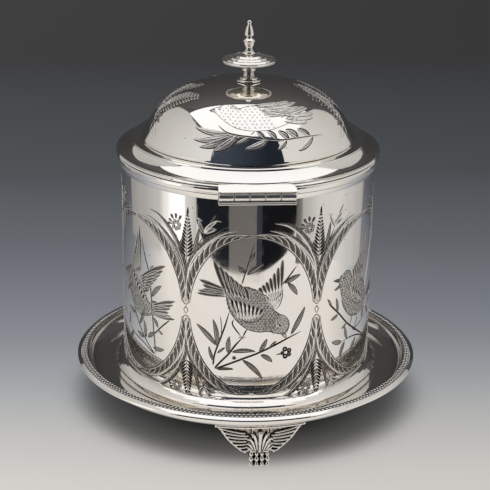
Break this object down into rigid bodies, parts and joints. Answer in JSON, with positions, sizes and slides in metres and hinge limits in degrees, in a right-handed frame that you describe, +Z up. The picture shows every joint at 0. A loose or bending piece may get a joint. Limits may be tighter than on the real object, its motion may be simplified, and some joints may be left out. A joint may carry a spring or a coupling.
{
  "type": "biscuit barrel",
  "caption": "Silver-plated drum on a round tray with paw feet, with a hinged domed lid and a turned finial, for keeping and serving biscuits.",
  "frame": {"origin": "on the surface that the feet stand on, on the drum's axis", "axes": "+Z up along the drum's axis, -Y towards the hinge and the front foot"},
  "size_m": [0.18, 0.18, 0.2129],
  "materials": {
    "silver_plate": "polished silver plate, lightly worn and tarnished in the recesses",
    "cast_silver": "plated casting with dark recesses",
    "fixings": "plain turned stud, washer, nut and hinge pin"
  },
  "bodies": {
    "barrel": {"tray": "silver_plate", "tray_border_wire": "silver_plate", "tray_bead_row": "silver_plate", "drum_wall": "silver_plate", "drum_floor": "silver_plate", "drum_foot_moulding": "silver_plate", "drum_rim_moulding": "silver_plate", "hinge_drum_leaf": "silver_plate", "hinge_knuckle_2": "silver_plate", "hinge_knuckle_4": "silver_plate", "hinge_pin": "fixings", "foot_1": "cast_silver", "foot_2": "cast_silver", "foot_3": "cast_silver"},
    "lid": {"lid_rim_wire": "silver_plate", "lid_flange": "silver_plate", "lid_bezel": "silver_plate", "lid_dome": "silver_plate", "finial_stem": "silver_plate", "finial_disc": "silver_plate", "finial_spire": "silver_plate", "finial_stud": "fixings", "finial_washer": "fixings", "finial_nut": "fixings", "hinge_lid_leaf": "silver_plate", "hinge_knuckle_1": "silver_plate", "hinge_knuckle_3": "silver_plate", "hinge_knuckle_5": "silver_plate"}
  },
  "joints": [
    {"name": "lid_hinge", "type": "hinge", "parent": "barrel", "child": "lid", "pos_m": [0, -0.0698, 0.1429], "axis": [1, 0, 0], "range_deg": [0, 110]}
  ]
}
